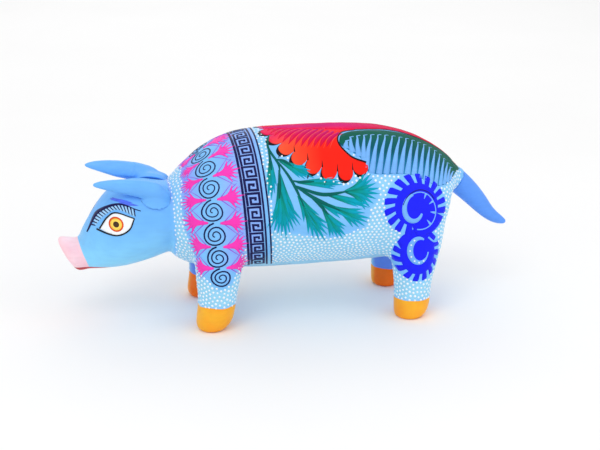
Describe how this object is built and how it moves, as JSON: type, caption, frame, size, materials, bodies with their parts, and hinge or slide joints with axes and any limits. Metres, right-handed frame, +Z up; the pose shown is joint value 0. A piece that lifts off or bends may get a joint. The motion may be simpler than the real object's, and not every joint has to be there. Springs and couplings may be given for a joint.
{
  "type": "painted wooden pig figure",
  "caption": "Carved and painted wooden pig that stands on its hooves, with plug-in ears and a plug-in tail that turn on round pegs and pull out.",
  "frame": {"origin": "bottom centre of the whole figure's bounding box, on the plane that the hooves stand on", "axes": "+Z up, +X towards the tail (the snout points to -X), -Y towards the pig's left side"},
  "size_m": [0.2518, 0.0766, 0.1028],
  "materials": {
    "body_paint": "copal wood under semi-gloss acrylic paint",
    "ear_paint": "copal wood under semi-gloss acrylic paint",
    "tail_paint": "copal wood under semi-gloss acrylic paint",
    "peg_wood": "bare turned wood"
  },
  "bodies": {
    "carved_block": {"carved_block": "body_paint"},
    "ear_left": {"ear_left": "ear_paint"},
    "ear_right": {"ear_right": "ear_paint"},
    "tail": {"tail": "tail_paint"},
    "ear_left_peg": {"ear_left_peg": "peg_wood"},
    "ear_right_peg": {"ear_right_peg": "peg_wood"},
    "tail_peg": {"tail_peg": "peg_wood"}
  },
  "joints": [
    {"name": "ear_left_pull", "type": "slide", "parent": "carved_block", "child": "ear_left_peg", "axis": [0.1511, -0.5978, 0.7873], "range_m": [0, 0.014]},
    {"name": "ear_left_turn", "type": "hinge", "parent": "ear_left_peg", "child": "ear_left", "pos_m": [-0.07358, -0.01274, 0.07111], "axis": [0.1511, -0.5978, 0.7873], "range_deg": [-20, 100]},
    {"name": "ear_right_pull", "type": "slide", "parent": "carved_block", "child": "ear_right_peg", "axis": [0.1511, 0.5978, 0.7873], "range_m": [0, 0.014]},
    {"name": "ear_right_turn", "type": "hinge", "parent": "ear_right_peg", "child": "ear_right", "pos_m": [-0.07358, 0.01274, 0.07111], "axis": [-0.1511, -0.5978, -0.7873], "range_deg": [-20, 100]},
    {"name": "tail_pull", "type": "slide", "parent": "carved_block", "child": "tail_peg", "axis": [0.809, 0, -0.5878], "range_m": [0, 0.018]},
    {"name": "tail_turn", "type": "hinge", "parent": "tail_peg", "child": "tail", "pos_m": [0.09568, 0, 0.0676], "axis": [0.809, 0, -0.5878], "continuous": true}
  ]
}
